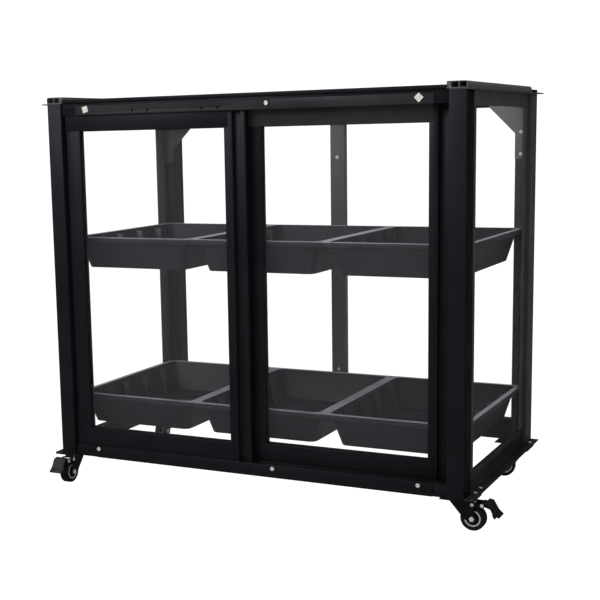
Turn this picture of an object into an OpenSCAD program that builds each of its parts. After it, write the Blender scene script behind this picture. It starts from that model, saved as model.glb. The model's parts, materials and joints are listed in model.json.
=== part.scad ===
// Mini greenhouse on casters: a glazed cabinet with two sliding doors, a hinged
// roof lid and two tiers of lift-out trays. The origin is on the floor below the
// middle of the cabinet, X runs along the front, -Y faces the user, +Z is up.

/* [Cabinet] */
// Width across the corner posts
cabinet_w = 1186; // [1000:1:1400]
// Depth from the front of the posts to the back
cabinet_d = 674; // [560:1:800]
// Height from the underside of the base to the top of the rear cap
cabinet_h = 1000; // [900:1:1200]

/* [Posts] */
// Width of each corner post
post_w = 45; // [42:0.5:55]
// Depth of the lip in front of the door grooves
post_lip = 7.5; // [6:0.5:10]
// Wall of the hollow posts and rails
wall = 2.2; // [1.6:0.1:2.6]
// Radius of the outer corners of the posts
post_r = 5; // [2:0.5:7]
// Depth of the door grooves in the posts
jamb_depth = 11; // [10:0.5:13]

/* [Doors] */
// Thickness of a door
door_t = 22; // [20:0.5:26]
// Play on each side of a door in its track
door_play = 1; // [0.6:0.1:1.5]
// Overlap of the two doors when they are closed
door_overlap = 27.5; // [20:0.5:40]
// How far the left door sits inside its post groove
left_tuck = 8.5; // [4:0.5:9]
// How far the right door sits inside its post groove
right_tuck = 2; // [1:0.5:9]
// Width of the plain stile beside the post
plain_stile_w = 60.7; // [50:0.1:70]
// Width of the stile with the finger recess
grip_stile_w = 61; // [55:0.5:70]
// Width of the finger recess
recess_w = 23; // [18:0.5:26]
// Width of the lip that is pulled
lip_w = 14; // [10:0.5:18]
// Depth of the finger recess
recess_depth = 11; // [6:0.5:14]
// How far a rail stands proud of the stiles
rail_proud = 1.2; // [0.8:0.1:2]
// Height of the top rail that shows below the header
top_rail_show = 44; // [30:1:60]
// Height of the bottom rail that shows above the base
bottom_rail_show = 50; // [35:1:65]
// Thickness of the door panes
door_pane_t = 4; // [3:0.5:6]

/* [Tracks] */
// Height of the base strip in front of the bottom track
base_strip_h = 34; // [28:1:45]
// Height of the header above the door opening
header_h = 33; // [30:1:45]
// Height of the top band of the header
band_h = 8; // [6:0.5:12]
// Thickness of the bottom track floor
track_floor = 8; // [5:0.5:10]
// Thickness of the fins between the tracks
fin_t = 2; // [1.5:0.1:2.5]
// Thickness of the cover strips on the tracks
strip_t = 3; // [2:0.5:4]

/* [Sides] */
// Depth of the side glazing behind the outer face of the posts
side_inset = 9.5; // [6:0.5:12]
// Thickness of the stiles beside the side panes
side_stile_t = 2.5; // [2:0.1:3]
// Width of the stiles beside the side panes
side_stile_w = 50; // [35:1:60]
// Thickness of the side, rear and roof panes
pane_t = 2; // [2:0.5:4]
// Height of the side sills
sill_h = 48; // [40:1:60]
// Reach of the sill flange outside the posts
flange_out = 24; // [16:1:30]
// Thickness of the flanges
flange_t = 3; // [2:0.5:4]
// Reach of the top flange outside the posts
top_flange_out = 18; // [10:1:24]
// Height of the side top rails
side_rail_h = 36; // [28:1:45]

/* [Rear] */
// Height of the rear bottom rail
rear_rail_h = 60; // [45:1:75]
// Depth of the rear bottom rail
rear_rail_d = 30; // [25:1:40]
// Width of the rear mullion
mullion_w = 45; // [35:1:60]
// Depth of the rear mullion
mullion_d = 24; // [18:1:28]
// Leg of the corner gussets
gusset_leg = 73; // [50:1:90]
// Length of the gusset strap on the post
strap_h = 70; // [62:1:90]

/* [Lid] */
// Height of the rear cap
cap_h = 9; // [8:0.5:14]
// Width of the lid end rails
end_rail_w = 50; // [40:1:60]
// Height of the lid end rails
end_rail_h = 17; // [14:0.5:22]
// Depth of the lid front and rear rails
cross_rail_d = 30; // [24:1:40]
// Height of the lid front and rear rails
cross_rail_h = 9.2; // [8:0.1:12]
// Distance of each lid hinge from the end of the lid
hinge_inset = 180; // [120:5:300]

/* [Trays] */
// Number of trays in a tier
tray_count = 3; // [2:1:4]
// Height of the rim of the lower trays above the base
lower_rim = 170; // [150:1:220]
// Height of the rim of the upper trays above the base
upper_rim = 620; // [520:1:700]
// Depth of a tray from rim to floor
tray_depth = 88; // [60:1:95]
// Width of the flat rim
rim_w = 12; // [11:0.5:16]
// Height of the skirt under the rim
skirt_h = 14; // [12:0.5:15]
// Thickness of the tray walls
tray_wall = 2; // [1.6:0.1:2.5]
// How far each wall leans in from rim to floor
tray_taper = 24; // [12:1:30]
// Spacing of the ribs on the tray walls
rib_pitch = 110; // [80:5:150]

/* [Casters] */
// Diameter of a caster wheel
wheel_d = 63.5; // [60:0.5:65]
// Width of a caster wheel
wheel_w = 24; // [20:0.5:26]
// Overall height of a caster
caster_h = 82; // [81:0.5:90]
// Distance from the swivel axis back to the axle
trail = 34; // [28:0.5:38]
// Distance of the swivel axes from the side faces
swivel_inset = 19; // [15:1:30]
// Distance of the front swivel axes from the front
front_swivel_y = 36; // [34:1:60]
// Distance of the rear swivel axes from the back
rear_swivel_y = 104; // [98:1:140]
// Length of a caster plate along X
plate_x = 86; // [80:1:90]
// Length of a caster plate along Y
plate_y = 75; // [70:1:80]

/* [Hidden] */
$fn = 48;
eps = 0.05;
gap = 0.3;
pin_clear = 0.05;
black = [0.11, 0.11, 0.12];
dark = [0.08, 0.08, 0.085];
grey = [0.28, 0.28, 0.29];
clear = [0.85, 0.92, 0.93, 0.25];
plastic = [0.2, 0.2, 0.21];
silver = [0.75, 0.75, 0.76];
rubber = [0.09, 0.09, 0.09];
pale = [0.72, 0.72, 0.73];

// Places along the depth, front to back
strip_y = post_lip - fin_t - strip_t;
track_y = post_lip - fin_t;
front_track_y = post_lip;
track_w = door_t + 2 * door_play;
rear_track_y = front_track_y + track_w + fin_t;
post_d = rear_track_y + track_w + 2.5;
rear_post_y = cabinet_d - post_d;
inner_w = cabinet_w - 2 * post_w;
inner_d = rear_post_y - post_d;

// Heights above the base
deck_z = cabinet_h - cap_h;
post_h = deck_z - flange_t;
header_z = deck_z - header_h;
door_z = 14;
door_top = header_z + 14;
door_h = door_top - door_z;

// Doors
door_w = (inner_w + left_tuck + right_tuck + door_overlap) / 2;
left_door_x = post_w - left_tuck;
right_door_x = cabinet_w - post_w + right_tuck - door_w;
left_door_y = front_track_y + door_play;
right_door_y = rear_track_y + door_play;
rail_z0 = base_strip_h + bottom_rail_show - door_z;
rail_z1 = header_z - top_rail_show - door_z;
pane_in = 6;
edge_lip = 8.5;
edge_groove = 9;

// Side glazing, measured inward from the outer face of the posts
side_pane_x = side_inset + side_stile_t;
sill_step = 26;
sill_box_w = 8.5;
side_rail_z = post_h - side_rail_h;
side_lap = 6;
side_box_d = 28;
rear_rail_top = 955 / 1000 * cabinet_h;
rear_pane_y = cabinet_d - 14;
pane_groove = 5;
pane_slack = 0.5;
gusset_t = 3;
gusset_z = rear_rail_top + 20;

// Lid
lid_z = deck_z + gap;
lid_end_y = rear_post_y - 6;
hinge_r = 4;
hinge_pin_r = 2;
hinge_y = rear_post_y + 0.5;
hinge_z = cabinet_h + hinge_r + gap;
leaf_t = 1.5;
leaf_l = 24;
hinge_w = 60;
roof_pane_z = lid_z + 3.2;
roof_in = 8;

// Trays
tray_side = side_pane_x + pane_t + 1;
tray_gap = 0.8;
tray_pitch = (cabinet_w - 2 * tray_side + tray_gap) / tray_count;
tray_w = tray_pitch - tray_gap;
tray_y0 = post_d + 1;
tray_y1 = rear_post_y - 1;
tray_d = tray_y1 - tray_y0;
bar_t = 7;
bar_h = 15;
bar_gap = 1;
block_l = 26;
tray_r = 20;

// Casters
axle_z = wheel_d / 2 - caster_h;
axle_r = 4;
cheek_t = 2.5;
cheek_gap = wheel_w / 2 + 2.3;
race_r = 24;
race_h = 2.6;
king_r = 5;
fork_z = -(flange_t + race_h + gap);
bridge_t = 2.6;
lug = [trail + 25, -13.5];
rivet_r = 2.5;
plate_t = 3;
// Each caster: X and Y of its swivel axis, and the way that its wheel trails
FRONT_LEFT = [swivel_inset, front_swivel_y, -90];
FRONT_RIGHT = [cabinet_w - swivel_inset, front_swivel_y, 0];
REAR_LEFT = [swivel_inset, cabinet_d - rear_swivel_y, -90];
REAR_RIGHT = [cabinet_w - swivel_inset, cabinet_d - rear_swivel_y, 219];
CASTERS = [FRONT_LEFT, FRONT_RIGHT, REAR_LEFT, REAR_RIGHT];

// Moves cabinet coordinates, which start at the front left base corner, to the floor origin
module place() {
    translate([-cabinet_w / 2, -cabinet_d / 2, caster_h]) children();
}

// Draws its children on the right-hand side of the cabinet
module right_hand() {
    translate([cabinet_w, 0, 0]) mirror([1, 0, 0]) children();
}

module both_sides() {
    children();
    right_hand() children();
}

// A block between two corners
module block(a, b) {
    translate(a) cube(b - a);
}

// Rectangle from the origin with round corners
module soft_rect(w, d, r) {
    translate([r, 0]) square([w - 2 * r, d]);
    translate([0, r]) square([w, d - 2 * r]);
    for (x = [r, w - r], y = [r, d - r]) translate([x, y]) circle(r);
}

// Runs a profile drawn in Y and Z along X
module along_x(x0, length) {
    translate([x0, 0, 0]) rotate([90, 0, 90]) linear_extrude(length) children();
}

// Runs a profile drawn in X and Z along Y
module along_y(y0, length) {
    translate([0, y0 + length, 0]) rotate([90, 0, 0]) linear_extrude(length) children();
}

// Front post with two door grooves in its inner face
module front_post() {
    core = post_w - jamb_depth - wall;
    linear_extrude(post_h) difference() {
        soft_rect(post_w, post_d, post_r / 2);
        translate([wall, wall]) square([core - wall, post_d - 2 * wall]);
        for (y = [front_track_y, rear_track_y])
            translate([post_w - jamb_depth, y]) square([jamb_depth + 1, track_w]);
        translate([core + wall, wall]) square([jamb_depth - 2 * wall, post_lip - 2 * wall]);
    }
}

// Rear post with a pane groove in its inner face
module rear_post() {
    translate([0, rear_post_y, 0]) linear_extrude(post_h) difference() {
        soft_rect(post_w, post_d, post_r / 2);
        translate([wall, wall]) square([post_w - 2 * wall - pane_groove - wall, post_d - 2 * wall]);
        translate([post_w - pane_groove, rear_pane_y - rear_post_y - eps])
            square([pane_groove + 1, pane_t + 2 * eps]);
    }
}

module front_left_post() { color(black) place() front_post(); }
module front_right_post() { color(black) place() right_hand() front_post(); }
module rear_left_post() { color(black) place() rear_post(); }
module rear_right_post() { color(black) place() right_hand() rear_post(); }

// Track profile in depth and height: a front wall, a floor and fins for both doors
module track_profile(h, floor) {
    difference() {
        translate([track_y, 0]) square([post_d - track_y, h]);
        for (y = [front_track_y, rear_track_y]) translate([y, floor]) square([track_w, h]);
        translate([track_y + wall, wall])
            square([post_d - track_y - 2 * wall, floor - 2 * wall]);
    }
}

// Screw holes that the cabinet leaves open in the top left strip
HOLE_X = [272, 319, 483, 530];
HOLE_R = 2.75;
hole_z = header_z + 9;

module header_track() {
    color(black) place() difference() {
        translate([0, 0, deck_z]) along_x(post_w, inner_w)
            mirror([0, 1]) track_profile(header_h, header_h - (door_top - header_z) - 5);
        open_holes();
    }
}

module bottom_track() {
    color(black) place() along_x(post_w, inner_w) track_profile(base_strip_h, track_floor);
}

module open_holes() {
    for (x = HOLE_X) translate([x / 1186 * cabinet_w, -1, hole_z])
        rotate([-90, 0, 0]) cylinder(r = HOLE_R, h = post_lip + 2);
}

strip_joint = 678 / 1186 * cabinet_w;

module top_fascias() {
    color(black) place() difference() {
        union() {
            block([post_w + 46, strip_y, header_z], [strip_joint - gap, track_y, deck_z - band_h]);
            block([strip_joint, strip_y, header_z],
                  [cabinet_w - post_w - 36, track_y, deck_z - band_h]);
        }
        open_holes();
    }
}

module base_fascia() {
    color(black) place()
        block([post_w + 73, strip_y, 0], [cabinet_w - post_w - 36, track_y, base_strip_h - 2]);
}

// Hollow rail section in depth and height
module box_section(y0, z0, d, h) {
    translate([y0, z0]) difference() {
        square([d, h]);
        translate([wall, wall]) square([d - 2 * wall, h - 2 * wall]);
    }
}

module pane_slot() {
    block([post_w - pane_groove, rear_pane_y - eps, rear_rail_h - pane_groove],
          [cabinet_w - post_w + pane_groove, rear_pane_y + pane_t + eps, rear_rail_top + pane_groove]);
}

module rear_top_rail() {
    color(black) place() difference() {
        along_x(post_w, inner_w) difference() {
            translate([rear_post_y, rear_rail_top]) square([post_d, deck_z - rear_rail_top]);
            translate([rear_post_y + wall, rear_rail_top + pane_groove + wall])
                square([post_d - 2 * wall, deck_z - rear_rail_top - pane_groove - 2 * wall]);
        }
        pane_slot();
    }
}

module rear_bottom_rail() {
    color(black) place() difference() {
        along_x(post_w, inner_w) difference() {
            translate([cabinet_d - rear_rail_d, 0]) square([rear_rail_d, rear_rail_h]);
            translate([cabinet_d - rear_rail_d + wall, wall])
                square([rear_rail_d - 2 * wall, rear_rail_h - pane_groove - 3 * wall]);
        }
        pane_slot();
    }
}

module rear_mullion() {
    mid = cabinet_w / 2;
    color(black) place() difference() {
        block([mid - mullion_w / 2, cabinet_d - mullion_d, rear_rail_h],
              [mid + mullion_w / 2, cabinet_d, rear_rail_top]);
        block([mid - mullion_w / 2 + pane_groove + wall, cabinet_d - mullion_d + wall, 0],
              [mid + mullion_w / 2 - pane_groove - wall, cabinet_d - wall, cabinet_h]);
        for (s = [-1, 1]) translate([mid + s * (mullion_w / 2 - pane_groove / 2), 0, 0])
            block([-pane_groove / 2 - eps, rear_pane_y - eps, 0],
                  [pane_groove / 2 + eps, rear_pane_y + pane_t + eps, cabinet_h]);
    }
}

module rear_cap() {
    color(black) place() along_x(0, cabinet_w)
        box_section(rear_post_y + 0.5, deck_z, post_d - 0.5, cap_h);
}

module rear_panes() {
    reach = pane_groove - pane_slack;
    mid = cabinet_w / 2 - mullion_w / 2 + reach;
    color(clear) place() both_sides()
        block([post_w - reach, rear_pane_y, rear_rail_h - reach],
              [mid, rear_pane_y + pane_t, rear_rail_top + reach]);
}

// Sill profile in X and Z: a stepped web with a box behind it
module sill_profile() {
    translate([side_inset, sill_step]) square([side_stile_t, sill_h - sill_step]);
    translate([side_pane_x, flange_t]) difference() {
        square([sill_box_w, sill_h - 3 - flange_t]);
        translate([wall, wall]) square([sill_box_w - 2 * wall, sill_h - 3 - flange_t - 2 * wall]);
    }
}

module sill() {
    along_y(post_d, inner_d) sill_profile();
    block([-flange_out, 0, 0], [0, cabinet_d - 9, flange_t]);
    block([-eps, post_d, 0], [side_pane_x + sill_box_w, rear_post_y, flange_t]);
}

module side_sills() { color(black) place() both_sides() sill(); }

// Side top rail with its outward flange on the posts
module side_top_rail() {
    box_z = side_rail_z + side_lap;
    along_y(post_d, inner_d) {
        translate([side_inset, side_rail_z]) square([side_stile_t, post_h - side_rail_z]);
        translate([side_pane_x, box_z]) difference() {
            square([side_box_d, post_h - box_z]);
            translate([wall, wall]) square([side_box_d - 2 * wall, post_h - box_z - 2 * wall]);
        }
    }
    block([-top_flange_out, 0, post_h], [post_w, cabinet_d, deck_z]);
}

module side_top_rails() { color(grey) place() both_sides() side_top_rail(); }

module side_stiles() {
    color(black) place() both_sides() for (y = [post_d, rear_post_y - side_stile_w])
        block([side_inset, y, sill_h], [side_pane_x, y + side_stile_w, side_rail_z]);
}

module side_panes() {
    color(clear) place() both_sides()
        block([side_pane_x, post_d, sill_h - 3], [side_pane_x + pane_t, rear_post_y, side_rail_z + side_lap]);
}

// Triangular plate with a strap down the rear post
module gusset() {
    strap_x = side_pane_x + pane_t + gap;
    arm_x = side_pane_x + side_box_d + gap;
    arm_z = side_rail_z + side_lap - gap;
    strap_z = rear_rail_top - gusset_leg - strap_h;
    outline = [
        [strap_x, arm_z], [arm_x, arm_z], [arm_x, gusset_z], [post_w + gusset_leg, gusset_z],
        [post_w + gusset_leg, rear_rail_top], [post_w, rear_rail_top - gusset_leg],
        [post_w, strap_z], [strap_x, strap_z]
    ];
    translate([0, rear_post_y, 0]) rotate([90, 0, 0]) linear_extrude(gusset_t) polygon(outline);
}

module corner_gussets() { color(grey) place() both_sides() gusset(); }

// Bearer bar under one tray rim, on a block at each post
module bearer(rim_z, y, block_y) {
    top = rim_z - tray_wall - gap;
    block([tray_side + tray_wall + 1, y, top - bar_h],
          [cabinet_w - tray_side - tray_wall - 1, y + bar_t, top]);
    both_sides() block([side_pane_x + pane_t + gap, block_y, top - 2 * bar_h],
                       [side_pane_x + pane_t + gap + block_l, block_y + bar_t + 4, top - bar_h]);
}

front_bar_y = tray_y0 + tray_wall + bar_gap;
rear_bar_y = tray_y1 - tray_wall - bar_gap - bar_t;

module tray_bearers() {
    color(dark) place() for (z = [lower_rim, upper_rim]) {
        bearer(z, front_bar_y, post_d);
        bearer(z, rear_bar_y, rear_post_y - bar_t - 4);
    }
}

// Screw head with a hexagonal socket, standing along +Z on its surface
module screw_head(r) {
    difference() {
        cylinder(r = r, h = 2.2);
        translate([0, 0, 1.2]) cylinder(r = r * 0.42, h = 2, $fn = 6);
    }
}

module facing_front(x, y, z, r) {
    translate([x, y, z]) rotate([90, 0, 0]) screw_head(r);
}

module frame_bolts() {
    mid = cabinet_w / 2;
    strip_z = header_z + 15;
    color(silver) place() {
        for (x = [post_w + 79, mid + 75, cabinet_w - post_w - 73]) {
            facing_front(x, strip_y, strip_z, 5.5);
            facing_front(x, strip_y, base_strip_h - 9, 5.5);
        }
        both_sides() for (z = [rear_rail_top - gusset_leg + 4, rear_rail_top - gusset_leg - 57])
            facing_front(28, rear_post_y - gusset_t, z, 5);
        for (z = [822, 172]) facing_front(mid, cabinet_d - mullion_d, z / 1000 * cabinet_h, 5);
        both_sides() for (y = [front_swivel_y + 30, front_swivel_y + 77, cabinet_d - 56])
            translate([-10, y, flange_t]) screw_head(5);
    }
}

// Caster plate, upper ball race and king pin around one swivel axis
module caster_plate() {
    translate([-plate_x / 2, -plate_y / 2, -plate_t]) cube([plate_x, plate_y, plate_t]);
    translate([0, 0, -plate_t - race_h]) cylinder(r = race_r, h = race_h);
    translate([0, 0, fork_z - bridge_t - 3.5]) cylinder(r = king_r, h = 3.5 + bridge_t - fork_z - plate_t);
    translate([0, 0, fork_z - bridge_t - 3.5]) cylinder(r = king_r + 3, h = 3.2);
}

module caster_plates() {
    color(dark) place() {
        for (c = CASTERS) translate([c[0], c[1], 0]) caster_plate();
        both_sides() block([0, rear_post_y - 14 + 1, -plate_t], [88, cabinet_d, 0]);
    }
}

module at_caster(c) {
    place() translate([c[0], c[1], 0]) rotate([0, 0, c[2]]) children();
}

// Side outline of a fork cheek: a slanted leg to the axle and a lug for the brake
module cheek_outline(braked) {
    polygon([
        [-race_r, fork_z - bridge_t], [-race_r, fork_z], [race_r, fork_z], [race_r + 4, fork_z - 3],
        [trail + 6, fork_z - 4], [trail + 6, axle_z], [trail, axle_z - 10], [trail - 20, axle_z - 2],
        [trail - 26, axle_z + 5]
    ]);
    translate([trail, axle_z]) circle(10);
    if (braked) {
        translate([trail, lug[1] - 7]) square([lug[0] - trail, 12.5]);
        translate(lug) circle(7);
    }
}

module cheek(braked) {
    difference() {
        linear_extrude(cheek_t) cheek_outline(braked);
        translate([trail, axle_z, -1]) cylinder(r = axle_r, h = cheek_t + 2);
        if (braked) for (x = [trail, lug[0]])
            translate([x, lug[1], -1]) cylinder(r = rivet_r, h = cheek_t + 2);
    }
}

// Swivel fork: a bridge under the race with two cheeks
module fork(braked) {
    for (y = [cheek_gap + cheek_t, -cheek_gap]) translate([0, y, 0]) rotate([90, 0, 0]) cheek(braked);
    difference() {
        union() {
            translate([0, 0, fork_z - bridge_t]) cylinder(r = race_r, h = bridge_t);
            block([-race_r, -cheek_gap - eps, fork_z - bridge_t], [race_r, cheek_gap + eps, fork_z]);
        }
        translate([0, 0, fork_z - bridge_t - 1]) cylinder(r = king_r + pin_clear, h = bridge_t + 2);
    }
}

// Axle with its hex heads and, on a braked caster, the two cross rivets
module axle_set(braked) {
    reach = cheek_gap + cheek_t;
    translate([trail, 0, axle_z]) rotate([90, 0, 0]) {
        cylinder(r = axle_r, h = 2 * reach, center = true);
        for (s = [-1, 1]) translate([0, 0, s * (reach + 2)]) cylinder(r = 6.5, h = 4, center = true, $fn = 6);
    }
    if (braked) for (x = [trail, lug[0]]) translate([x, 0, lug[1]]) rotate([90, 0, 0]) {
        cylinder(r = rivet_r, h = 2 * reach, center = true);
        for (s = [-1, 1]) translate([0, 0, s * (reach + 1)]) cylinder(r = 4.5, h = 2, center = true);
    }
}

hub_r = 21;

// Hub with a sunk web, a raised ring and a boss that turns on the axle
module hub() {
    half = wheel_w / 2;
    translate([trail, 0, axle_z]) rotate([90, 0, 0]) rotate_extrude() difference() {
        union() {
            translate([axle_r + pin_clear, -cheek_gap + gap]) square([5, 2 * (cheek_gap - gap)]);
            translate([axle_r + 1, -half + 4]) square([hub_r - axle_r - 1, 2 * half - 8]);
            translate([hub_r - 4, -half + 1]) square([4, 2 * half - 2]);
        }
    }
}

module tyre() {
    half = wheel_w / 2;
    round = 4;
    translate([trail, 0, axle_z]) rotate([90, 0, 0]) rotate_extrude() {
        translate([hub_r, -half]) square([wheel_d / 2 - hub_r - round, 2 * half]);
        translate([hub_r, -half + round]) square([wheel_d / 2 - hub_r, 2 * half - 2 * round]);
        for (s = [-1, 1]) translate([wheel_d / 2 - round, s * (half - round)]) circle(round);
    }
}

// Brake pedal: a hub on the pivot rivet, a web and a tread plate that flares below
module pedal() {
    top = [lug[0] + 10, -1.5];
    low = [lug[0] + 31, -42];
    t = 3;
    difference() {
        union() {
            translate([lug[0], 0, lug[1]]) rotate([90, 0, 0])
                cylinder(r = 5.5, h = 2 * (cheek_gap - gap), center = true);
            rotate([90, 0, 0]) translate([0, 0, -8]) linear_extrude(16)
                polygon([[lug[0], lug[1] + 5], [lug[0] + 17, lug[1] + 2], [lug[0] + 24, lug[1] - 12],
                         [lug[0] + 2, lug[1] - 5]]);
            rotate([90, 0, 0]) translate([0, 0, -16.5]) linear_extrude(33)
                polygon([top, top + [t + 1, 0], low + [t + 2, 6], low + [t, 0], low]);
            rotate([90, 0, 0]) translate([0, 0, -22]) linear_extrude(44)
                polygon([low + [-5, 10], low + [t - 2, 14], low + [t + 2, 6], low + [t, 0], low]);
        }
        translate([lug[0], 0, lug[1]]) rotate([90, 0, 0])
            cylinder(r = rivet_r + pin_clear, h = 60, center = true);
    }
}

module front_left_fork() { color(dark) at_caster(FRONT_LEFT) fork(true); }
module front_right_fork() { color(dark) at_caster(FRONT_RIGHT) fork(true); }
module rear_left_fork() { color(dark) at_caster(REAR_LEFT) fork(false); }
module rear_right_fork() { color(dark) at_caster(REAR_RIGHT) fork(false); }
module front_left_axle() { color(silver) at_caster(FRONT_LEFT) axle_set(true); }
module front_right_axle() { color(silver) at_caster(FRONT_RIGHT) axle_set(true); }
module rear_left_axle() { color(silver) at_caster(REAR_LEFT) axle_set(false); }
module rear_right_axle() { color(silver) at_caster(REAR_RIGHT) axle_set(false); }
module front_left_hub() { color(pale) at_caster(FRONT_LEFT) hub(); }
module front_right_hub() { color(pale) at_caster(FRONT_RIGHT) hub(); }
module rear_left_hub() { color(pale) at_caster(REAR_LEFT) hub(); }
module rear_right_hub() { color(pale) at_caster(REAR_RIGHT) hub(); }
module front_left_tyre() { color(rubber) at_caster(FRONT_LEFT) tyre(); }
module front_right_tyre() { color(rubber) at_caster(FRONT_RIGHT) tyre(); }
module rear_left_tyre() { color(rubber) at_caster(REAR_LEFT) tyre(); }
module rear_right_tyre() { color(rubber) at_caster(REAR_RIGHT) tyre(); }
module front_left_pedal() { color(plastic) at_caster(FRONT_LEFT) pedal(); }
module front_right_pedal() { color(plastic) at_caster(FRONT_RIGHT) pedal(); }

// Puts a door, drawn from its own lower left front corner, in its track
module left_door() { place() translate([left_door_x, left_door_y, door_z]) children(); }
module right_door() { place() translate([right_door_x, right_door_y, door_z]) children(); }

pane_y = rail_proud + (door_t - rail_proud - door_pane_t) / 2;

// Stile profiles in X and Y
module plain_stile_profile() {
    difference() {
        translate([0, rail_proud]) square([plain_stile_w, door_t - rail_proud]);
        translate([edge_lip, 0]) square([edge_groove, rail_proud + 8]);
        translate([edge_lip + edge_groove + wall, rail_proud + wall])
            square([plain_stile_w - pane_in - 2 * wall - edge_lip - edge_groove, door_t - rail_proud - 2 * wall]);
        translate([plain_stile_w - pane_in, pane_y - eps]) square([pane_in + 1, door_pane_t + 2 * eps]);
    }
}

module grip_stile_profile() {
    face = grip_stile_w - recess_w - lip_w;
    difference() {
        translate([0, rail_proud]) square([grip_stile_w, door_t - rail_proud]);
        translate([face, 0]) square([recess_w, rail_proud + recess_depth]);
        translate([pane_in + wall, rail_proud + wall])
            square([face - pane_in - 2 * wall, door_t - rail_proud - 2 * wall]);
        translate([-1, pane_y - eps]) square([pane_in + 1, door_pane_t + 2 * eps]);
    }
}

module plain_stile() { linear_extrude(door_h) plain_stile_profile(); }
module grip_stile() {
    translate([door_w - grip_stile_w, 0, 0]) linear_extrude(door_h) grip_stile_profile();
}

// Door rail between the stiles with a thin face that laps over them
module door_rail(z0, z1, bevel_z, slot_z) {
    lap_x0 = 15.5;
    lap_x1 = door_w - grip_stile_w + 11;
    difference() {
        union() {
            block([plain_stile_w, 0, z0], [door_w - grip_stile_w, door_t, z1]);
            block([lap_x0, 0, z0], [lap_x1, rail_proud, z1]);
        }
        block([0, wall, z0 + pane_in + wall], [door_w, pane_y + door_pane_t + 4, z1 - pane_in - wall]);
        block([0, pane_y - eps, slot_z], [door_w, pane_y + door_pane_t + eps, slot_z + pane_in]);
        translate([0, 0, bevel_z]) rotate([45, 0, 0]) cube([3 * door_w, 3, 3], center = true);
    }
}

// Plastic shoes that carry a door on the floor of its track
module glides() {
    for (x = [plain_stile_w + 30, door_w - grip_stile_w - 30])
        block([x - 20, door_t / 2 - 5, track_floor - door_z + gap], [x + 20, door_t / 2 + 5, 0]);
}

module door_bottom_rail() {
    door_rail(0, rail_z0, rail_z0, rail_z0 - pane_in);
    glides();
}
module door_top_rail() { door_rail(rail_z1, door_h, rail_z1, rail_z1); }

module door_pane() {
    reach = pane_in - pane_slack;
    block([plain_stile_w - reach, pane_y, rail_z0 - reach],
          [door_w - grip_stile_w + reach, pane_y + door_pane_t, rail_z1 + reach]);
}

module left_door_top_rail() { color(black) left_door() door_top_rail(); }
module left_door_bottom_rail() { color(black) left_door() door_bottom_rail(); }
module left_door_plain_stile() { color(black) left_door() plain_stile(); }
module left_door_grip_stile() { color(black) left_door() grip_stile(); }
module left_door_pane() { color(clear) left_door() door_pane(); }
module right_door_top_rail() { color(black) right_door() door_top_rail(); }
module right_door_bottom_rail() { color(black) right_door() door_bottom_rail(); }
module right_door_plain_stile() { color(black) right_door() plain_stile(); }
module right_door_grip_stile() { color(black) right_door() grip_stile(); }
module right_door_pane() { color(clear) right_door() door_pane(); }

// Lid end rail section in X and Z with a round outer corner and open webs
module end_rail_profile() {
    r = 6;
    difference() {
        union() {
            translate([r, 0]) square([end_rail_w - r, end_rail_h]);
            square([end_rail_w, end_rail_h - r]);
            translate([r, end_rail_h - r]) circle(r);
        }
        for (i = [0, 1]) translate([wall + i * (end_rail_w - wall - roof_in) / 2, wall])
            square([(end_rail_w - wall - roof_in) / 2 - wall, end_rail_h - 2 * wall]);
        translate([end_rail_w - roof_in, roof_pane_z - lid_z - eps])
            square([roof_in + 1, pane_t + 2 * eps]);
    }
}

module lid_end_rails() {
    color(black) place() both_sides() translate([0, 0, lid_z])
        along_y(0, lid_end_y) end_rail_profile();
}

module cross_rail_profile() {
    difference() {
        square([cross_rail_d, cross_rail_h]);
        translate([wall, wall]) square([cross_rail_d - roof_in - 2 * wall, cross_rail_h - 2 * wall]);
        translate([cross_rail_d - roof_in, roof_pane_z - lid_z - eps])
            square([roof_in + 1, pane_t + 2 * eps]);
    }
}

// Two lid straps, each with the middle knuckle of its hinge
module lid_straps() {
    strap_z = lid_z + cross_rail_h;
    for (x = [hinge_inset, cabinet_w - hinge_inset]) difference() {
        union() {
            block([x - hinge_w / 2, lid_end_y - leaf_l, strap_z],
                  [x + hinge_w / 2, hinge_y - hinge_r - gap, strap_z + leaf_t]);
            block([x - hinge_w / 6 + gap, lid_end_y - leaf_l, strap_z],
                  [x + hinge_w / 6 - gap, hinge_y, strap_z + leaf_t]);
            translate([x, hinge_y, hinge_z]) rotate([0, 90, 0])
                cylinder(r = hinge_r, h = hinge_w / 3 - 2 * gap, center = true);
        }
        translate([x, hinge_y, hinge_z]) rotate([0, 90, 0])
            cylinder(r = hinge_pin_r + pin_clear, h = hinge_w, center = true);
    }
}

module lid_cross_rails() {
    color(black) place() {
        translate([0, 0, lid_z]) along_x(end_rail_w, cabinet_w - 2 * end_rail_w) {
            cross_rail_profile();
            translate([lid_end_y, 0]) mirror([1, 0]) cross_rail_profile();
        }
        lid_straps();
    }
}

// Fixed leaves on the rear cap with the outer knuckles and the pins
module lid_hinge_leaves() {
    color(dark) place() for (x = [hinge_inset, cabinet_w - hinge_inset]) {
        block([x - hinge_w / 2, hinge_y + hinge_r + gap, cabinet_h],
              [x + hinge_w / 2, hinge_y + leaf_l, cabinet_h + leaf_t]);
        for (s = [-1, 1]) translate([x + s * hinge_w / 3, 0, 0]) {
            block([-hinge_w / 6, hinge_y, cabinet_h], [hinge_w / 6, hinge_y + leaf_l, cabinet_h + leaf_t]);
            translate([0, hinge_y, hinge_z]) rotate([0, 90, 0])
                cylinder(r = hinge_r, h = hinge_w / 3, center = true);
        }
        translate([x, hinge_y, hinge_z]) rotate([0, 90, 0])
            cylinder(r = hinge_pin_r, h = hinge_w + 4, center = true);
    }
}

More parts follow.
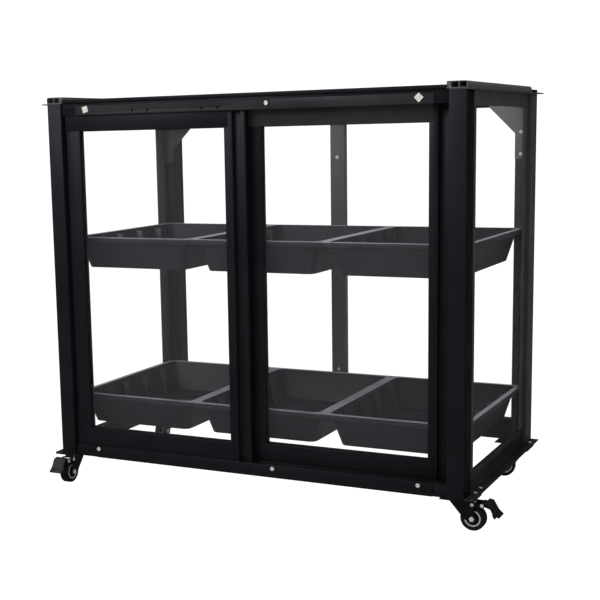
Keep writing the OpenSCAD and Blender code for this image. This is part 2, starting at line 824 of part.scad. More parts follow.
module roof_pane() {
    reach = roof_in - pane_slack;
    color(clear) place()
        block([end_rail_w - reach, cross_rail_d - reach, roof_pane_z],
              [cabinet_w - end_rail_w + reach, lid_end_y - cross_rail_d + reach, roof_pane_z + pane_t]);
}

// Tapered block with round upright edges, inset by a margin all round
module taper_block(margin, top_z, floor_z) {
    lean = tray_taper / tray_depth;
    hull() for (z = [floor_z, top_z]) {
        inset = rim_w + margin - z * lean;
        translate([inset, inset, z - eps / 2]) linear_extrude(eps)
            soft_rect(tray_w - 2 * inset, tray_d - 2 * inset, tray_r - margin / 2, $fn = 32);
    }
}

// Tray shell from its own front left rim corner, with Z 0 at the top of the rim
module tray() {
    rib_n = floor((tray_d - 2 * rim_w - 2 * tray_taper) / rib_pitch);
    difference() {
        union() {
            translate([0, 0, -tray_wall]) linear_extrude(tray_wall) soft_rect(tray_w, tray_d, 4);
            difference() {
                translate([0, 0, -skirt_h]) linear_extrude(skirt_h - eps) soft_rect(tray_w, tray_d, 4);
                translate([tray_wall, tray_wall, -skirt_h - 1])
                    cube([tray_w - 2 * tray_wall, tray_d - 2 * tray_wall, skirt_h + 2]);
                for (y = [tray_wall + bar_gap / 2, tray_d - tray_wall - bar_gap * 1.5 - bar_t])
                    translate([-1, y, -skirt_h - 1]) cube([tray_w + 2, bar_t + bar_gap, skirt_h + 1 - tray_wall]);
            }
            taper_block(0, -eps, -tray_depth);
        }
        difference() {
            taper_block(tray_wall, 1, -tray_depth + tray_wall);
            for (i = [1:rib_n]) translate([0, tray_d / 2 + (i - (rib_n + 1) / 2) * rib_pitch - 1, 0])
                for (x = [0, tray_w - rim_w - tray_taper - 4])
                    translate([x, 0, -tray_depth]) cube([rim_w + tray_taper + 4, 2, tray_depth - tray_wall - 6]);
        }
    }
}

module tray_at(column, rim_z) {
    place() translate([tray_side + column * tray_pitch, tray_y0, rim_z]) tray();
}

module upper_left_tray() { color(plastic) tray_at(0, upper_rim); }
module upper_middle_tray() {
    color(plastic) for (i = [1:1:tray_count - 2]) tray_at(i, upper_rim);
}
module upper_right_tray() { color(plastic) tray_at(tray_count - 1, upper_rim); }
module lower_left_tray() { color(plastic) tray_at(0, lower_rim); }
module lower_middle_tray() {
    color(plastic) for (i = [1:1:tray_count - 2]) tray_at(i, lower_rim);
}
module lower_right_tray() { color(plastic) tray_at(tray_count - 1, lower_rim); }

front_left_post();
front_right_post();
rear_left_post();
rear_right_post();
header_track();
bottom_track();
top_fascias();
base_fascia();
rear_top_rail();
rear_bottom_rail();
rear_mullion();
rear_cap();
rear_panes();
side_sills();
side_top_rails();
side_stiles();
side_panes();
corner_gussets();
tray_bearers();
frame_bolts();
caster_plates();
lid_hinge_leaves();
left_door_top_rail();
left_door_bottom_rail();
left_door_plain_stile();
left_door_grip_stile();
left_door_pane();
right_door_top_rail();
right_door_bottom_rail();
right_door_plain_stile();
right_door_grip_stile();
right_door_pane();
lid_end_rails();
lid_cross_rails();
roof_pane();
upper_left_tray();
upper_middle_tray();
upper_right_tray();
lower_left_tray();
lower_middle_tray();
lower_right_tray();
front_left_fork();
front_right_fork();
rear_left_fork();
rear_right_fork();
front_left_axle();
front_right_axle();
rear_left_axle();
rear_right_axle();
front_left_hub();
front_right_hub();
rear_left_hub();
rear_right_hub();
front_left_tyre();
front_right_tyre();
rear_left_tyre();
rear_right_tyre();
front_left_pedal();
front_right_pedal();
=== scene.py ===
import json
import math

import bpy
from mathutils import Matrix, Vector

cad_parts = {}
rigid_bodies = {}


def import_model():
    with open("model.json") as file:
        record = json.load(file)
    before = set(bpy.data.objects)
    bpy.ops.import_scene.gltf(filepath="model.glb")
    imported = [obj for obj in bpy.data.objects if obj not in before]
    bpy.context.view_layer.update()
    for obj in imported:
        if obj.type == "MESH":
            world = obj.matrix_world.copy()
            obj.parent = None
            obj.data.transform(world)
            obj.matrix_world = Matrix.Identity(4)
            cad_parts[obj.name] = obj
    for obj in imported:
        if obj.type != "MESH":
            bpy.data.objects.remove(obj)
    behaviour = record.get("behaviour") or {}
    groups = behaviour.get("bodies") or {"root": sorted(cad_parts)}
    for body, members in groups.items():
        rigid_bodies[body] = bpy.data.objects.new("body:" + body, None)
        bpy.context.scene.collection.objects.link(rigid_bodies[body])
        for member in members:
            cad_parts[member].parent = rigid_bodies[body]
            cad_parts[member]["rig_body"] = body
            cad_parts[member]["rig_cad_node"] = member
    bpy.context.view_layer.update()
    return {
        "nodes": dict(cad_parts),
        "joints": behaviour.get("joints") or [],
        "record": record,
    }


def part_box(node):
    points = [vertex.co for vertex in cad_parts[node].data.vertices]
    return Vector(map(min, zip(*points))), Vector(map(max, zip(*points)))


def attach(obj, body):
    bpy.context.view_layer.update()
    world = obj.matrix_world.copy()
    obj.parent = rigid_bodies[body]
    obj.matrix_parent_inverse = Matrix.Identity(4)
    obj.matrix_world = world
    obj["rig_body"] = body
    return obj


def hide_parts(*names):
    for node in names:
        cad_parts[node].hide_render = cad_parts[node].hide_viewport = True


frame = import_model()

# The mini greenhouse on casters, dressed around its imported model. Blender works in metres; named
# sizes and places are in millimetres in the part's frame, save those of the camera and the lamps.
MM = 0.001

# Camera: its place in metres, the way it looks in degrees, and how the frame is shifted
CAMERA_PLACE = (1.4345, -3.1779, 0.9769)
CAMERA_YAW, CAMERA_PITCH, CAMERA_ROLL = -27.81, 9.395, -1.341
FRAME_PX = 600
FOCAL_PX = 1232.12
CENTRE_PX = (222.21, 339.37)
SENSOR_MM = 36

# Strength of the white that the camera sees, of what reflections see, and of the world's light
WHITE = 1.12
FLOOR_REFLECTED, WORLD_REFLECTED = 0.08, 0.07
WORLD_LIGHT = 0.6

# Square washers under the outer header screws: place along the header, and turn in degrees
WASHERS = {"left_square_washer": (-469, -15), "right_square_washer": (475, 45)}
WASHER_SIDE, WASHER_THICK = 16.5, 2.8
HEADER_SCREW_Z = 1055

# Grommets in the header's empty holes: place along the header, and radius
GROMMETS = {
    "far_left_grommet": (-321, 4),
    "near_left_grommet": (-274, 4),
    "near_right_grommet": (-110, 5.5),
    "far_right_grommet": (-63, 5.5),
}
HEADER_HOLE_Z, HEADER_HOLE_R = 1049, 2.6

# The left corner gusset is larger than the right one: its leg, and how deep its web lies inside
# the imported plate, so that no two faces share a plane
LEFT_GUSSET_LEG = 102
WEB_CLEAR = 0.2
# Its bolts lie left of the one and between the others
GUSSET_BOLTS_X, GUSSET_BOLTS_Y = -550, (250, 300)

# Foot plate of a brake pedal, about its own middle: X points away from the wheel and Z up
TREAD_THICK, TREAD_WIDTH, TREAD_HEIGHT = 4.5, 38, 26
TREAD_MIDDLE = -5
TREAD_FOOT, TREAD_TOP = TREAD_MIDDLE - TREAD_HEIGHT / 2, TREAD_MIDDLE + TREAD_HEIGHT / 2
GROOVES = 4
# Its flared lip in steps: how far down, how far out, and how much wider each one goes
LIP_STEPS = ((7, 1.2, 1.05), (4.5, 1.8, 1.05), (3, 0.8, 0.98), (2, 0.1, 0.88))
# Its top: how far up and back, and how much thinner and narrower
TOP_STEP = (2.8, 0.8, 0.7, 0.72)
# Its place on the caster: out from the press joint, up, and its lean in degrees
TREAD_OUT, TREAD_UP, TREAD_LEAN = 22.5, 2, -30

# Trays: the painted shade inside starts this far below the rim, and the painted highlight along
# the rim ends this far below it
PAINTED_SHADE_BELOW, RIM_HIGHLIGHT_DEPTH = 3, 0.8
# How deep the painted shade on the right face of the front right post reaches
PAINTED_SHADE_DEPTH = 2

# Part of a unit normal above which a face counts as looking along an axis
FACING = 0.9
# Faces that meet at less than this angle, in degrees, are shaded as one smooth surface
SMOOTH_BELOW = 35
# A noise texture's values mostly lie in this range
NOISE_LOW, NOISE_HIGH = 0.3, 0.7


def linear_colour(code):
    """sRGB hex such as "1c1c20" as a linear colour with alpha 1."""
    parts = [int(code[i:i + 2], 16) / 255 for i in (0, 2, 4)]
    return [p / 12.92 if p <= 0.04045 else ((p + 0.055) / 1.055) ** 2.4 for p in parts] + [1.0]


def add_node(tree, kind, inputs=None, **settings):
    """A new shader node with its settings, whose inputs are set or linked by name or number."""
    node = tree.nodes.new(kind)
    for name, value in settings.items():
        setattr(node, name, value)
    for key, value in (inputs or {}).items():
        if isinstance(value, bpy.types.NodeSocket):
            tree.links.new(value, node.inputs[key])
        else:
            node.inputs[key].default_value = value
    return node


def new_material(name):
    """A bare material: itself, its tree, its output node and the object's own coordinates."""
    material = bpy.data.materials.new(name)
    material.use_nodes = True
    tree = material.node_tree
    tree.nodes.clear()
    output = add_node(tree, "ShaderNodeOutputMaterial")
    coords = add_node(tree, "ShaderNodeTexCoord").outputs["Object"]
    return material, tree, output, coords


def patches(tree, coords, low, high, size_mm, detail=2.0):
    """Patches about size_mm across: their noise as it comes, and stretched from low to high."""
    noise = add_node(tree, "ShaderNodeTexNoise", {
        "Vector": coords, "Scale": 1 / (size_mm * MM), "Detail": detail}).outputs["Fac"]
    stretched = add_node(tree, "ShaderNodeMapRange", {
        "Value": noise, "From Min": NOISE_LOW, "From Max": NOISE_HIGH,
        "To Min": low, "To Max": high}).outputs["Result"]
    return noise, stretched


def uneven_colour(tree, coords, first, second, size_mm):
    """A colour that wanders between two hex codes in patches about size_mm across."""
    return add_node(tree, "ShaderNodeMix", {
        "Factor": patches(tree, coords, 0, 1, size_mm)[1],
        "A": linear_colour(first), "B": linear_colour(second)}, data_type="RGBA").outputs[2]


def powder_coat(name, first, second, rough, shine=0.22):
    """Satin polyester powder coat on extruded aluminium: a fine orange peel that softens its
    reflections, and a broad, faint unevenness."""
    material, tree, output, coords = new_material(name)
    peel = add_node(tree, "ShaderNodeTexNoise", {
        "Vector": coords, "Scale": 1 / (2.2 * MM), "Detail": 3.0}).outputs["Fac"]
    shader = add_node(tree, "ShaderNodeBsdfPrincipled", {
        "Base Color": uneven_colour(tree, coords, first, second, size_mm=140),
        "Roughness": patches(tree, coords, *rough, size_mm=60)[1],
        "IOR": 1.5,
        "Specular IOR Level": shine,
        "Specular Tint": linear_colour("eef0ff"),
        "Normal": add_node(tree, "ShaderNodeBump", {
            "Height": peel, "Distance": 0.05 * MM, "Strength": 0.5}).outputs["Normal"],
    })
    tree.links.new(shader.outputs[0], output.inputs["Surface"])
    return material


def painted_steel(name):
    """Black stove enamel on pressed steel: smoother and glossier than the powder coat."""
    material, tree, output, coords = new_material(name)
    ripple = add_node(tree, "ShaderNodeTexNoise", {
        "Vector": coords, "Scale": 1 / (1.2 * MM), "Detail": 2.0}).outputs["Fac"]
    shader = add_node(tree, "ShaderNodeBsdfPrincipled", {
        "Base Color": uneven_colour(tree, coords, "070708", "0b0b0c", size_mm=30),
        "Roughness": patches(tree, coords, 0.26, 0.38, size_mm=12)[1],
        "IOR": 1.5,
        "Normal": add_node(tree, "ShaderNodeBump", {
            "Height": ripple, "Distance": 0.03 * MM, "Strength": 0.4}).outputs["Normal"],
    })
    tree.links.new(shader.outputs[0], output.inputs["Surface"])
    return material


def clear_sheet(name):
    """Clear polycarbonate sheet: see-through with a faint grey haze and soft reflections."""
    material, tree, output, coords = new_material(name)
    shader = add_node(tree, "ShaderNodeBsdfPrincipled", {
        "Base Color": linear_colour("e8e6ee"),
        "Roughness": patches(tree, coords, 0.04, 0.08, size_mm=90)[1],
        "IOR": 1.58,
        "Alpha": 0.014,
    })
    tree.links.new(shader.outputs[0], output.inputs["Surface"])
    return material


def vacuum_formed_plastic(name, first, second, shine=0.5):
    """Thin recycled polystyrene, vacuum formed: dark smoky grey with a soft sheen and a slight
    waviness."""
    material, tree, output, coords = new_material(name)
    flow, roughness = patches(tree, coords, 0.3, 0.42, size_mm=25, detail=3.0)
    shader = add_node(tree, "ShaderNodeBsdfPrincipled", {
        "Base Color": uneven_colour(tree, coords, first, second, size_mm=80),
        "Roughness": roughness,
        "IOR": 1.59,
        "Specular IOR Level": shine,
        "Normal": add_node(tree, "ShaderNodeBump", {
            "Height": flow, "Distance": 0.5 * MM, "Strength": 0.35}).outputs["Normal"],
    })
    tree.links.new(shader.outputs[0], output.inputs["Surface"])
    return material


def zinc_plate(name):
    """Bright zinc plated steel, as on screws and rivets: cool and pale with a cloudy polish."""
    material, tree, output, coords = new_material(name)
    shader = add_node(tree, "ShaderNodeBsdfPrincipled", {
        "Base Color": linear_colour("e4e4e0"),
        "Metallic": 0.45,
        "Roughness": patches(tree, coords, 0.3, 0.45, size_mm=1.5)[1],
    })
    tree.links.new(shader.outputs[0], output.inputs["Surface"])
    return material


def moulded_plastic(name, first, second, rough, grain_mm=1.2):
    """Injection moulded plastic with a matt, spark-eroded grain. The real grain is about 0.1 mm
    across; it is drawn coarser so that it shows."""
    material, tree, output, coords = new_material(name)
    grain, roughness = patches(tree, coords, *rough, size_mm=grain_mm, detail=3.0)
    shader = add_node(tree, "ShaderNodeBsdfPrincipled", {
        "Base Color": uneven_colour(tree, coords, first, second, size_mm=15),
        "Roughness": roughness,
        "IOR": 1.49,
        "Normal": add_node(tree, "ShaderNodeBump", {
            "Height": grain, "Distance": 0.08 * MM, "Strength": 0.5}).outputs["Normal"],
    })
    tree.links.new(shader.outputs[0], output.inputs["Surface"])
    return material


def white_floor():
    """Plain white to the camera, a dim grey in reflections, and a white bounce otherwise."""
    material, tree, output, _ = new_material("white_floor")
    path = add_node(tree, "ShaderNodeLightPath").outputs
    straight = add_node(tree, "ShaderNodeMath", {
        0: path["Is Camera Ray"], 1: path["Is Transmission Ray"]}, operation="MAXIMUM").outputs[0]
    strength = add_node(tree, "ShaderNodeMapRange", {
        "Value": straight, "To Min": FLOOR_REFLECTED, "To Max": WHITE}).outputs["Result"]
    seen = add_node(tree, "ShaderNodeMath", {
        0: straight, 1: path["Is Glossy Ray"]}, operation="MAXIMUM").outputs[0]
    diffuse = add_node(tree, "ShaderNodeBsdfDiffuse", {"Color": linear_colour("ffffff")})
    glow = add_node(tree, "ShaderNodeEmission", {"Color": (1, 1, 1, 1), "Strength": strength})
    mix = add_node(tree, "ShaderNodeMixShader", {
        0: seen, 1: diffuse.outputs[0], 2: glow.outputs[0]})
    tree.links.new(mix.outputs[0], output.inputs["Surface"])
    return material


FINISHES = {
    "black_profile": powder_coat(
        "satin_black_powder_coat", "131317", "17171b", rough=(0.34, 0.46)),
    # Painted sheen: a lighter copy of the black coat for the covers, the side sills and the right
    # door's top rail
    "black_with_painted_sheen": powder_coat(
        "satin_black_powder_coat_on_the_covers", "232324", "2e2e2f", rough=(0.36, 0.5)),
    # Painted sheen: a still lighter copy of the black coat for the side stiles, also used on the
    # left gusset and its bolts
    "black_with_more_painted_sheen": powder_coat(
        "satin_black_powder_coat_on_the_side_frame", "38383a", "424244", rough=(0.36, 0.5)),
    # Painted shade: a darker, less shiny copy of the black coat for the right face of the front
    # right post
    "black_with_painted_shade": powder_coat(
        "smooth_black_powder_coat_on_the_outer_face", "08080a", "0b0b0d", rough=(0.4, 0.5),
        shine=0.12),
    # Painted sheen: a pale grey copy of the coat for the corner plates
    "plate_with_painted_sheen": powder_coat(
        "powder_coat_lightened_as_painted_sheen_on_the_corner_plates", "6a6a6c", "747476", rough=(0.4, 0.55)),
    # Painted light: the lid's upward-facing end rails drawn lighter, as lit from above
    "lid_with_painted_top_light": powder_coat(
        "grey_powder_coat_on_the_lid", "545456", "5e5e60", rough=(0.4, 0.55)),
    # Painted haze: a lighter copy of the coat for the rear mullion, which is seen through the
    # panes
    "mullion_with_painted_haze": powder_coat(
        "powder_coat_lightened_as_painted_haze_on_the_mullion", "4c4c4e", "545456", rough=(0.38, 0.5)),
    "grey_profile": powder_coat(
        "satin_grey_powder_coat", "38383a", "404042", rough=(0.38, 0.5)),
    "black_steel": painted_steel("black_stove_enamel"),
    "clear_pane": clear_sheet("clear_polycarbonate"),
    "tray_plastic": vacuum_formed_plastic(
        "smoky_vacuum_formed_polystyrene", "18161f", "1f1d27"),
    # Painted shade: a copy of the tray plastic with less sheen, on the upward faces inside the
    # trays
    "tray_painted_shade": vacuum_formed_plastic(
        "polystyrene_with_painted_shade_inside_the_trays", "17161c", "1f1d25", shine=0.08),
    # Painted highlight: a pale copy of the tray plastic on the upward faces along the rims
    "tray_rim_painted_highlight": vacuum_formed_plastic(
        "polystyrene_with_painted_highlight_along_the_tray_rims", "8c8c94", "a4a4aa"),
    "zinc_screws": zinc_plate("bright_zinc_plate"),
    "washer_nylon": moulded_plastic(
        "beige_nylon_square_washer", "cfc3b8", "ddd2c8", rough=(0.4, 0.55)),
    "hub_plastic": moulded_plastic(
        "pale_grey_polypropylene", "a2a2a4", "b0b0b2", rough=(0.35, 0.5)),
    "black_plastic": moulded_plastic(
        "black_polypropylene", "0c0c0d", "121214", rough=(0.4, 0.55)),
    "tread_rubber": moulded_plastic(
        "black_polyurethane_tread", "0a0a0b", "101011", rough=(0.45, 0.62), grain_mm=1.6),
}
SLOT_OF = {part["node"]: part["material_slot"] for part in frame["record"]["subparts"]}
JOINTS = {joint["name"]: joint for joint in frame["joints"]}
BODY_OF = {node: body for body, nodes in frame["record"]["behaviour"]["bodies"].items()
           for node in nodes}

for node, piece in frame["nodes"].items():
    piece.data.materials.clear()
    piece.data.materials.append(FINISHES[SLOT_OF[node]])


def only(piece):
    """Leaves this object alone selected and active."""
    bpy.ops.object.select_all(action="DESELECT")
    piece.select_set(True)
    bpy.context.view_layer.objects.active = piece


def edit(piece):
    only(piece)
    bpy.ops.object.mode_set(mode="EDIT")


def pick_faces(piece, wanted):
    """Selects the faces whose centre, in mm, and normal pass a test, and stays in edit mode."""
    bpy.ops.object.mode_set(mode="OBJECT")
    for part in (*piece.data.vertices, *piece.data.edges):
        part.select = False
    for face in piece.data.polygons:
        face.select = bool(wanted(face.center / MM, face.normal))
    bpy.ops.object.mode_set(mode="EDIT")
    bpy.ops.mesh.select_mode(type="FACE")


def apply_modifier(piece, kind, **settings):
    only(piece)
    modifier = piece.modifiers.new(kind.lower(), kind)
    for name, value in settings.items():
        setattr(modifier, name, value)
    bpy.ops.object.modifier_apply(modifier=modifier.name)


def round_edges(piece, width_mm, segments, above_deg, **settings):
    """Rounds the edges that turn by more than an angle, and shades the piece smooth."""
    apply_modifier(piece, "BEVEL", width=width_mm * MM, segments=segments, limit_method="ANGLE",
                   angle_limit=math.radians(above_deg), use_clamp_overlap=True, **settings)
    bpy.ops.object.shade_smooth_by_angle(angle=math.radians(SMOOTH_BELOW))


def settle(piece, place):
    """Moves a piece to its place and leaves the place in its mesh."""
    piece.matrix_world = place
    only(piece)
    bpy.ops.object.transform_apply(location=True, rotation=True, scale=True)


def tint(piece, finish, wanted):
    """Gives another finish to the faces whose centre, in mm, and normal pass a test."""
    piece.data.materials.append(FINISHES[finish])
    for face in piece.data.polygons:
        if wanted(face.center / MM, face.normal):
            face.material_index = len(piece.data.materials) - 1


def soften(node, edge_mm, above_deg=32, finish=None):
    """A copy of a node with its edges rounded over, which stands for the node."""
    only(frame["nodes"][node])
    bpy.ops.object.duplicate()
    piece = bpy.context.view_layer.objects.active
    piece.name = node + "_finished"
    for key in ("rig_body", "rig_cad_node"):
        if key in piece:
            del piece[key]
    piece.parent = None
    piece.matrix_world = Matrix.Identity(4)
    apply_modifier(piece, "WELD", merge_threshold=0.01 * MM)
    apply_modifier(piece, "DECIMATE", decimate_type="DISSOLVE", angle_limit=math.radians(0.5))
    round_edges(piece, edge_mm, 2, above_deg, miter_outer="MITER_ARC")
    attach(piece, BODY_OF[node])
    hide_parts(node)
    if finish:
        piece.data.materials[0] = FINISHES[finish]
    return piece


def caster_axes(corner, joint):
    """The place of a caster's joint, turned so that X is the way its wheel trails and Y runs
    along its axle."""
    across = Vector(JOINTS[f"{corner}_{joint}"]["axis"])
    ahead = Vector((across.y, -across.x, 0))
    turn = Matrix((ahead, across, Vector((0, 0, 1)))).transposed()
    return Matrix.Translation(JOINTS[f"{corner}_{joint}"]["pos_m"]) @ turn.to_4x4()


def flat_ring(name, outer_mm, inner_mm, lift_mm, thick_mm):
    """A flat ring about the Z axis with rounded edges."""
    bpy.ops.object.select_all(action="DESELECT")
    bpy.ops.mesh.primitive_circle_add(vertices=96, radius=outer_mm * MM, fill_type="NOTHING")
    ring = bpy.context.active_object
    ring.name = name
    edit(ring)
    # The bare circle has no faces, so nothing would be selected in face mode
    bpy.ops.mesh.select_mode(type="EDGE")
    bpy.ops.mesh.select_all(action="SELECT")
    bpy.ops.mesh.extrude_region_move()
    bpy.ops.transform.resize(value=(inner_mm / outer_mm, inner_mm / outer_mm, 1))
    bpy.ops.mesh.select_all(action="SELECT")
    bpy.ops.transform.translate(value=(0, 0, lift_mm * MM))
    bpy.ops.object.mode_set(mode="OBJECT")
    apply_modifier(ring, "SOLIDIFY", thickness=thick_mm * MM, offset=0)
    round_edges(ring, width_mm=0.35 * thick_mm, segments=3, above_deg=40)
    return ring


def hub_ring(corner):
    """The pale moulded ring that trims the wheel's centre on both sides."""
    ring = flat_ring(corner + "_hub_ring", outer_mm=20.9, inner_mm=17.2, lift_mm=11.2,
                     thick_mm=1.4)
    apply_modifier(ring, "MIRROR", use_axis=(False, False, True))
    settle(ring, caster_axes(corner, "roll") @ Matrix.Rotation(math.radians(90), 4, "X"))
    ring.data.materials.append(FINISHES["hub_plastic"])
    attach(ring, corner + "_wheel")


def hole_grommet(name, x_mm, outer_mm):
    """The black grommet in one of the header's empty holes."""
    ring = flat_ring(name, outer_mm, HEADER_HOLE_R, lift_mm=0.1, thick_mm=0.8)
    place = (x_mm * MM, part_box("top_fascias")[0].y, HEADER_HOLE_Z * MM)
    settle(ring, Matrix.Translation(place) @ Matrix.Rotation(math.radians(90), 4, "X"))
    ring.data.materials.append(FINISHES["tread_rubber"])
    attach(ring, "frame")


def pedal_tread(corner):
    """The moulded foot plate over a brake pedal: tapered, with a flared lip and a grooved face."""
    bpy.ops.object.select_all(action="DESELECT")
    bpy.ops.mesh.primitive_cube_add(size=MM)
    tread = bpy.context.active_object
    tread.name = corner + "_pedal_tread"
    edit(tread)
    bpy.ops.mesh.select_all(action="SELECT")
    bpy.ops.transform.resize(value=(TREAD_THICK, TREAD_WIDTH, TREAD_HEIGHT))
    bpy.ops.transform.translate(value=(0, 0, TREAD_MIDDLE * MM))
    for drop, out, wider in LIP_STEPS:
        pick_faces(tread, lambda centre, normal: normal.z < -FACING)
        bpy.ops.mesh.extrude_region_move(
            TRANSFORM_OT_translate={"value": (out * MM, 0, -drop * MM)})
        bpy.ops.transform.resize(value=(1, wider, 1))
    rise, back, thinner, narrower = TOP_STEP
    pick_faces(tread, lambda centre, normal: normal.z > FACING)
    bpy.ops.mesh.extrude_region_move(TRANSFORM_OT_translate={"value": (-back * MM, 0, rise * MM)})
    bpy.ops.transform.resize(value=(thinner, narrower, 1))
    for step in range(1, GROOVES):
        bpy.ops.mesh.select_all(action="SELECT")
        cut = TREAD_FOOT + TREAD_HEIGHT / GROOVES * step
        bpy.ops.mesh.bisect(plane_co=(0, 0, cut * MM), plane_no=(0, 0, 1))
    pick_faces(tread, lambda centre, normal:
               normal.x > FACING and TREAD_FOOT < centre.z < TREAD_TOP)
    bpy.ops.mesh.inset(use_individual=True, thickness=1.1 * MM, depth=-0.9 * MM)
    bpy.ops.object.mode_set(mode="OBJECT")
    round_edges(tread, width_mm=0.9, segments=3, above_deg=28)
    settle(tread, caster_axes(corner, "brake_press")
           @ Matrix.Translation((TREAD_OUT * MM, 0, TREAD_UP * MM))
           @ Matrix.Rotation(math.radians(TREAD_LEAN), 4, "Y"))
    tread.data.materials.append(FINISHES["black_plastic"])
    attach(tread, corner + "_brake")


def gusset_web():
    """The larger web of the left corner gusset, with its lower corner cut off at 45 degrees."""
    plate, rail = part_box("corner_gussets"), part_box("rear_top_rail")
    left, right = rail[0].x, rail[0].x + LEFT_GUSSET_LEG * MM
    under, top = rail[0].z, plate[1].z - WEB_CLEAR * MM
    bottom = under - LEFT_GUSSET_LEG * MM
    thick = plate[1].y - plate[0].y - 2 * WEB_CLEAR * MM
    bpy.ops.object.select_all(action="DESELECT")
    bpy.ops.mesh.primitive_cube_add(size=1)
    web = bpy.context.active_object
    web.name = "left_gusset_web"
    edit(web)
    bpy.ops.mesh.select_all(action="SELECT")
    bpy.ops.transform.resize(value=(right - left, thick, top - bottom))
    bpy.ops.transform.translate(
        value=((left + right) / 2, (plate[0].y + plate[1].y) / 2, (top + bottom) / 2))
    bpy.ops.mesh.bisect(plane_co=(right, plate[0].y, under), plane_no=(1, 0, -1),
                        use_fill=True, clear_outer=True)
    bpy.ops.object.mode_set(mode="OBJECT")
    round_edges(web, width_mm=0.4, segments=2, above_deg=40)
    web.data.materials.append(FINISHES["black_with_more_painted_sheen"])
    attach(web, "frame")


def square_washer(name, x_mm, turn_deg):
    """A square washer with a sunk middle under one of the outer header screws."""
    bpy.ops.object.select_all(action="DESELECT")
    bpy.ops.mesh.primitive_cube_add(size=MM)
    washer = bpy.context.active_object
    washer.name = name
    edit(washer)
    bpy.ops.mesh.select_all(action="SELECT")
    bpy.ops.transform.resize(value=(WASHER_SIDE, WASHER_THICK, WASHER_SIDE))
    pick_faces(washer, lambda centre, normal: normal.y < -FACING)
    bpy.ops.mesh.inset(thickness=2.2 * MM, depth=-0.9 * MM)
    bpy.ops.object.mode_set(mode="OBJECT")
    round_edges(washer, width_mm=0.7, segments=3, above_deg=40)
    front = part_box("top_fascias")[0].y / MM
    place = (x_mm * MM, (front - WASHER_THICK / 2) * MM, HEADER_SCREW_Z * MM)
    settle(washer, Matrix.Translation(place) @ Matrix.Rotation(math.radians(turn_deg), 4, "Y"))
    washer.data.materials.append(FINISHES["washer_nylon"])
    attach(washer, "frame")


def camera():
    yaw, pitch = math.radians(CAMERA_YAW), math.radians(CAMERA_PITCH)
    ahead = Vector((math.sin(yaw) * math.cos(pitch), math.cos(yaw) * math.cos(pitch),
                    -math.sin(pitch)))
    right = Vector((math.cos(yaw), -math.sin(yaw), 0))
    turn = Matrix((right, right.cross(ahead), -ahead)).transposed()
    data = bpy.data.cameras.new("camera")
    data.sensor_width = SENSOR_MM
    data.lens = FOCAL_PX / FRAME_PX * SENSOR_MM
    data.shift_x = 0.5 - CENTRE_PX[0] / FRAME_PX
    data.shift_y = CENTRE_PX[1] / FRAME_PX - 0.5
    piece = bpy.data.objects.new("camera", data)
    bpy.context.scene.collection.objects.link(piece)
    piece.matrix_world = (Matrix.Translation(CAMERA_PLACE) @ turn.to_4x4()
                          @ Matrix.Rotation(math.radians(CAMERA_ROLL), 4, "Z"))
    bpy.context.scene.camera = piece


def soft_box(name, place, aim, size, power):
    """A rectangular studio lamp that looks at a point."""
    data = bpy.data.lights.new(name, "AREA")
    data.shape = "RECTANGLE"
    data.size, data.size_y = size
    data.energy = power
    lamp = bpy.data.objects.new(name, data)
    bpy.context.scene.collection.objects.link(lamp)
    lamp.location = place
    lamp.rotation_euler = (Vector(place) - Vector(aim)).to_track_quat("Z", "Y").to_euler()


def studio():
    """White floor and world, which glossy surfaces see dimmer, and three soft lamps."""
    world = bpy.data.worlds.new("studio")
    bpy.context.scene.world = world
    world.use_nodes = True
    tree = world.node_tree
    tree.nodes.clear()
    path = add_node(tree, "ShaderNodeLightPath").outputs
    seen = add_node(tree, "ShaderNodeMath", {
        0: path["Is Camera Ray"], 1: path["Is Transmission Ray"]}, operation="MAXIMUM").outputs[0]
    dim = add_node(tree, "ShaderNodeMapRange", {
        "Value": path["Is Glossy Ray"],
        "To Min": WORLD_LIGHT, "To Max": WORLD_REFLECTED}).outputs["Result"]
    strength = add_node(tree, "ShaderNodeMix", {
        "Factor": seen, "A": dim, "B": WHITE}, data_type="FLOAT").outputs[0]
    sky = add_node(tree, "ShaderNodeBackground", {"Color": (1, 1, 1, 1), "Strength": strength})
    output = add_node(tree, "ShaderNodeOutputWorld")
    tree.links.new(sky.outputs[0], output.inputs["Surface"])
    bpy.ops.mesh.primitive_plane_add(size=16, location=(0, 0, 0))
    floor = bpy.context.active_object
    floor.name = "floor"
    floor.data.materials.append(white_floor())
    soft_box("key_lamp", place=(-2.2, -3.4, 3.2), aim=(0, 0, 0.5), size=(2.4, 2.4), power=90)
    soft_box("fill_lamp", place=(3.6, -1.6, 2.2), aim=(0, 0, 0.5), size=(2.2, 2.2), power=12)
    soft_box("top_lamp", place=(0, 0.4, 3.8), aim=(0, 0, 0.8), size=(2.6, 1.8), power=45)


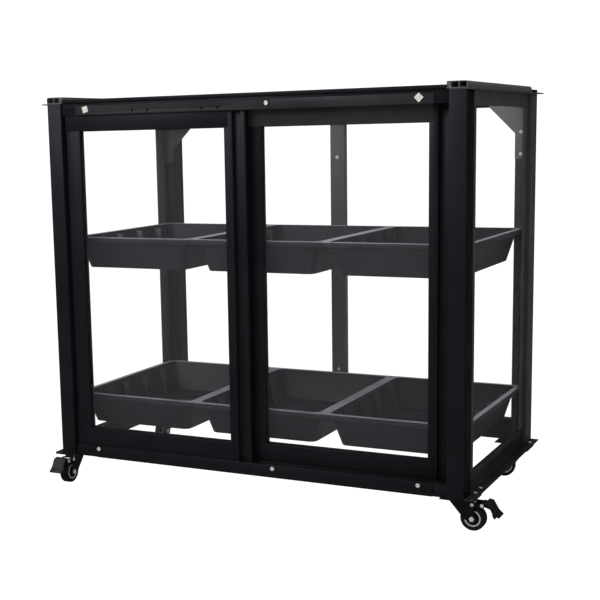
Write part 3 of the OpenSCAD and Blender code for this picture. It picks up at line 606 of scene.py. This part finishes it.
PROFILES = [
    "front_left_post", "front_right_post", "rear_left_post", "rear_right_post", "header_track",
    "bottom_track", "top_fascias", "base_fascia", "rear_top_rail", "rear_bottom_rail",
    "rear_mullion", "rear_cap", "side_sills", "side_top_rails", "side_stiles", "lid_end_rails",
    "lid_cross_rails",
] + [f"{side}_door_{part}" for side in ("left", "right")
     for part in ("top_rail", "bottom_rail", "plain_stile", "grip_stile")]
PRESSINGS = ["corner_gussets", "tray_bearers", "caster_plates", "lid_hinge_leaves"]
TRAYS = [f"{tier}_{column}_tray" for tier in ("upper", "lower")
         for column in ("left", "middle", "right")]
CORNERS = ("front_left", "front_right", "rear_left", "rear_right")
BRAKED = ("front_left", "front_right")

# Nodes whose finish isn't their slot's
OWN_FINISH = {
    # Painted sheen on the covers, the side sills and the right door's top rail
    "top_fascias": "black_with_painted_sheen",
    "side_sills": "black_with_painted_sheen",
    "right_door_top_rail": "black_with_painted_sheen",
    # Painted sheen on the side stiles
    "side_stiles": "black_with_more_painted_sheen",
    # Painted sheen on the corner plates
    "corner_gussets": "plate_with_painted_sheen",
    # Painted light from above on the lid's end rails
    "lid_end_rails": "lid_with_painted_top_light",
    # Painted haze on the rear mullion
    "rear_mullion": "mullion_with_painted_haze",
    # Painted light: the rear right post drawn in the lighter grey, unlike the other posts
    "rear_right_post": "grey_profile",
}

dressed = {}
for node in PROFILES:
    dressed[node] = soften(node, edge_mm=0.6, finish=OWN_FINISH.get(node))
for node in PRESSINGS:
    dressed[node] = soften(node, edge_mm=0.4, finish=OWN_FINISH.get(node))
for node in TRAYS:
    tray = soften(node, edge_mm=0.7, above_deg=40)
    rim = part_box(node)[1].z / MM
    # Painted shade on the upward faces inside each tray, below the rim
    tint(tray, "tray_painted_shade", lambda centre, normal:
         centre.z < rim - PAINTED_SHADE_BELOW and normal.z > 0.05)
    # A painted highlight on the upward faces along the top of each rim
    tint(tray, "tray_rim_painted_highlight", lambda centre, normal:
         centre.z > rim - RIM_HIGHLIGHT_DEPTH and normal.z > 0.3)
dressed["frame_bolts"] = soften("frame_bolts", edge_mm=0.7)

# Painted shade on the right-facing faces of the front right post
post_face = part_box("front_right_post")[1].x / MM
tint(dressed["front_right_post"], "black_with_painted_shade", lambda centre, normal:
     centre.x > post_face - PAINTED_SHADE_DEPTH and normal.x > 0.8)
tint(dressed["corner_gussets"], "black_with_more_painted_sheen", lambda centre, normal: centre.x < 0)
tint(dressed["frame_bolts"], "black_with_more_painted_sheen", lambda centre, normal:
     centre.x < GUSSET_BOLTS_X and GUSSET_BOLTS_Y[0] < centre.y < GUSSET_BOLTS_Y[1])

for corner in CORNERS:
    soften(corner + "_fork", edge_mm=0.5)
    soften(corner + "_axle", edge_mm=0.6)
    soften(corner + "_hub", edge_mm=0.6, finish="black_plastic")
    hub_ring(corner)
for corner in BRAKED:
    soften(corner + "_pedal", edge_mm=0.8)
    pedal_tread(corner)

for name, (hole_x, radius) in GROMMETS.items():
    hole_grommet(name, hole_x, radius)
gusset_web()
for name, (screw_x, turn) in WASHERS.items():
    square_washer(name, screw_x, turn)
camera()
studio()
bpy.context.scene.view_settings.view_transform = "Standard"
